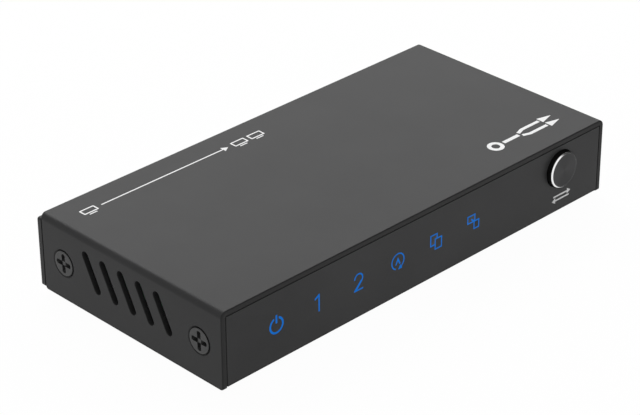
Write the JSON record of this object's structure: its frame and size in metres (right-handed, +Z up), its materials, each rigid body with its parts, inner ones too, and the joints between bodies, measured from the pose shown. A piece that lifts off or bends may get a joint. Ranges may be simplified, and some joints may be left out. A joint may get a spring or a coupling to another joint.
{
  "type": "video splitter",
  "caption": "Slim metal video splitter box with a folded cover, slanted side vents, a front panel with lit icons and a round push button, and sockets through its rear panel.",
  "frame": {"origin": "on the surface that the feet rest on, under the middle of the whole object", "axes": "+X to the right along the front, +Y to the rear sockets, +Z up"},
  "size_m": [0.1, 0.0508, 0.0169],
  "materials": {
    "case_coat": "fine matte dark grey coat",
    "tray_coat": "fine matte dark grey coat",
    "panel_coat": "smooth matte dark grey coat",
    "lit_icon": "translucent blue, lit from behind",
    "adhesive": "thin adhesive foam",
    "clear_guide": "clear moulded",
    "lamp": "clear lens on a white body",
    "foot_rubber": "matte black",
    "black_screw": "blackened",
    "bright_steel": "zinc plated",
    "board_resin": "green solder mask",
    "standoff_brass": "turned",
    "clear_sheet": "thin film",
    "socket_shell": "plated sheet",
    "socket_black": "moulded black",
    "gold_contact": "gold plated",
    "button_coat": "black anodised with a bright cut chamfer",
    "stem_plastic": "moulded",
    "chip_resin": "moulded black",
    "thermal_rubber": "soft pad",
    "sink_metal": "extruded",
    "can_metal": "bare can",
    "ceramic": "fired"
  },
  "bodies": {
    "case": {"top_cover": "case_coat", "base_tray": "tray_coat", "front_panel": "panel_coat", "panel_adhesive": "adhesive", "icon_inlays": "lit_icon", "light_guide": "clear_guide", "status_lamps": "lamp", "rubber_feet": "foot_rubber", "side_screws": "black_screw", "press_nuts": "bright_steel", "circuit_board": "board_resin", "board_standoffs": "standoff_brass", "board_screws": "bright_steel", "insulating_sheet": "clear_sheet", "input_shell": "socket_shell", "input_insulator": "socket_black", "input_contacts": "gold_contact", "output_1_shell": "socket_shell", "output_1_insulator": "socket_black", "output_1_contacts": "gold_contact", "output_2_shell": "socket_shell", "output_2_insulator": "socket_black", "output_2_contacts": "gold_contact", "power_shell": "socket_shell", "power_insulator": "socket_black", "power_contacts": "gold_contact", "switch_housing": "socket_black", "switch_bracket": "bright_steel", "switch_dome": "bright_steel", "splitter_chip": "chip_resin", "thermal_pad": "thermal_rubber", "heat_sink": "sink_metal", "controller_chip": "chip_resin", "memory_chips": "chip_resin", "surge_arrays": "chip_resin", "regulator": "chip_resin", "inductors": "chip_resin", "bulk_capacitors": "can_metal", "crystal": "can_metal", "passives": "ceramic"},
    "button": {"button_cap": "button_coat", "switch_plunger": "stem_plastic"}
  },
  "joints": [
    {"name": "button_press", "type": "slide", "parent": "case", "child": "button", "axis": [0, 1, 0], "range_m": [0, 0.0005], "stiffness_N_per_m": 1500, "springref_m": -0.0007}
  ]
}
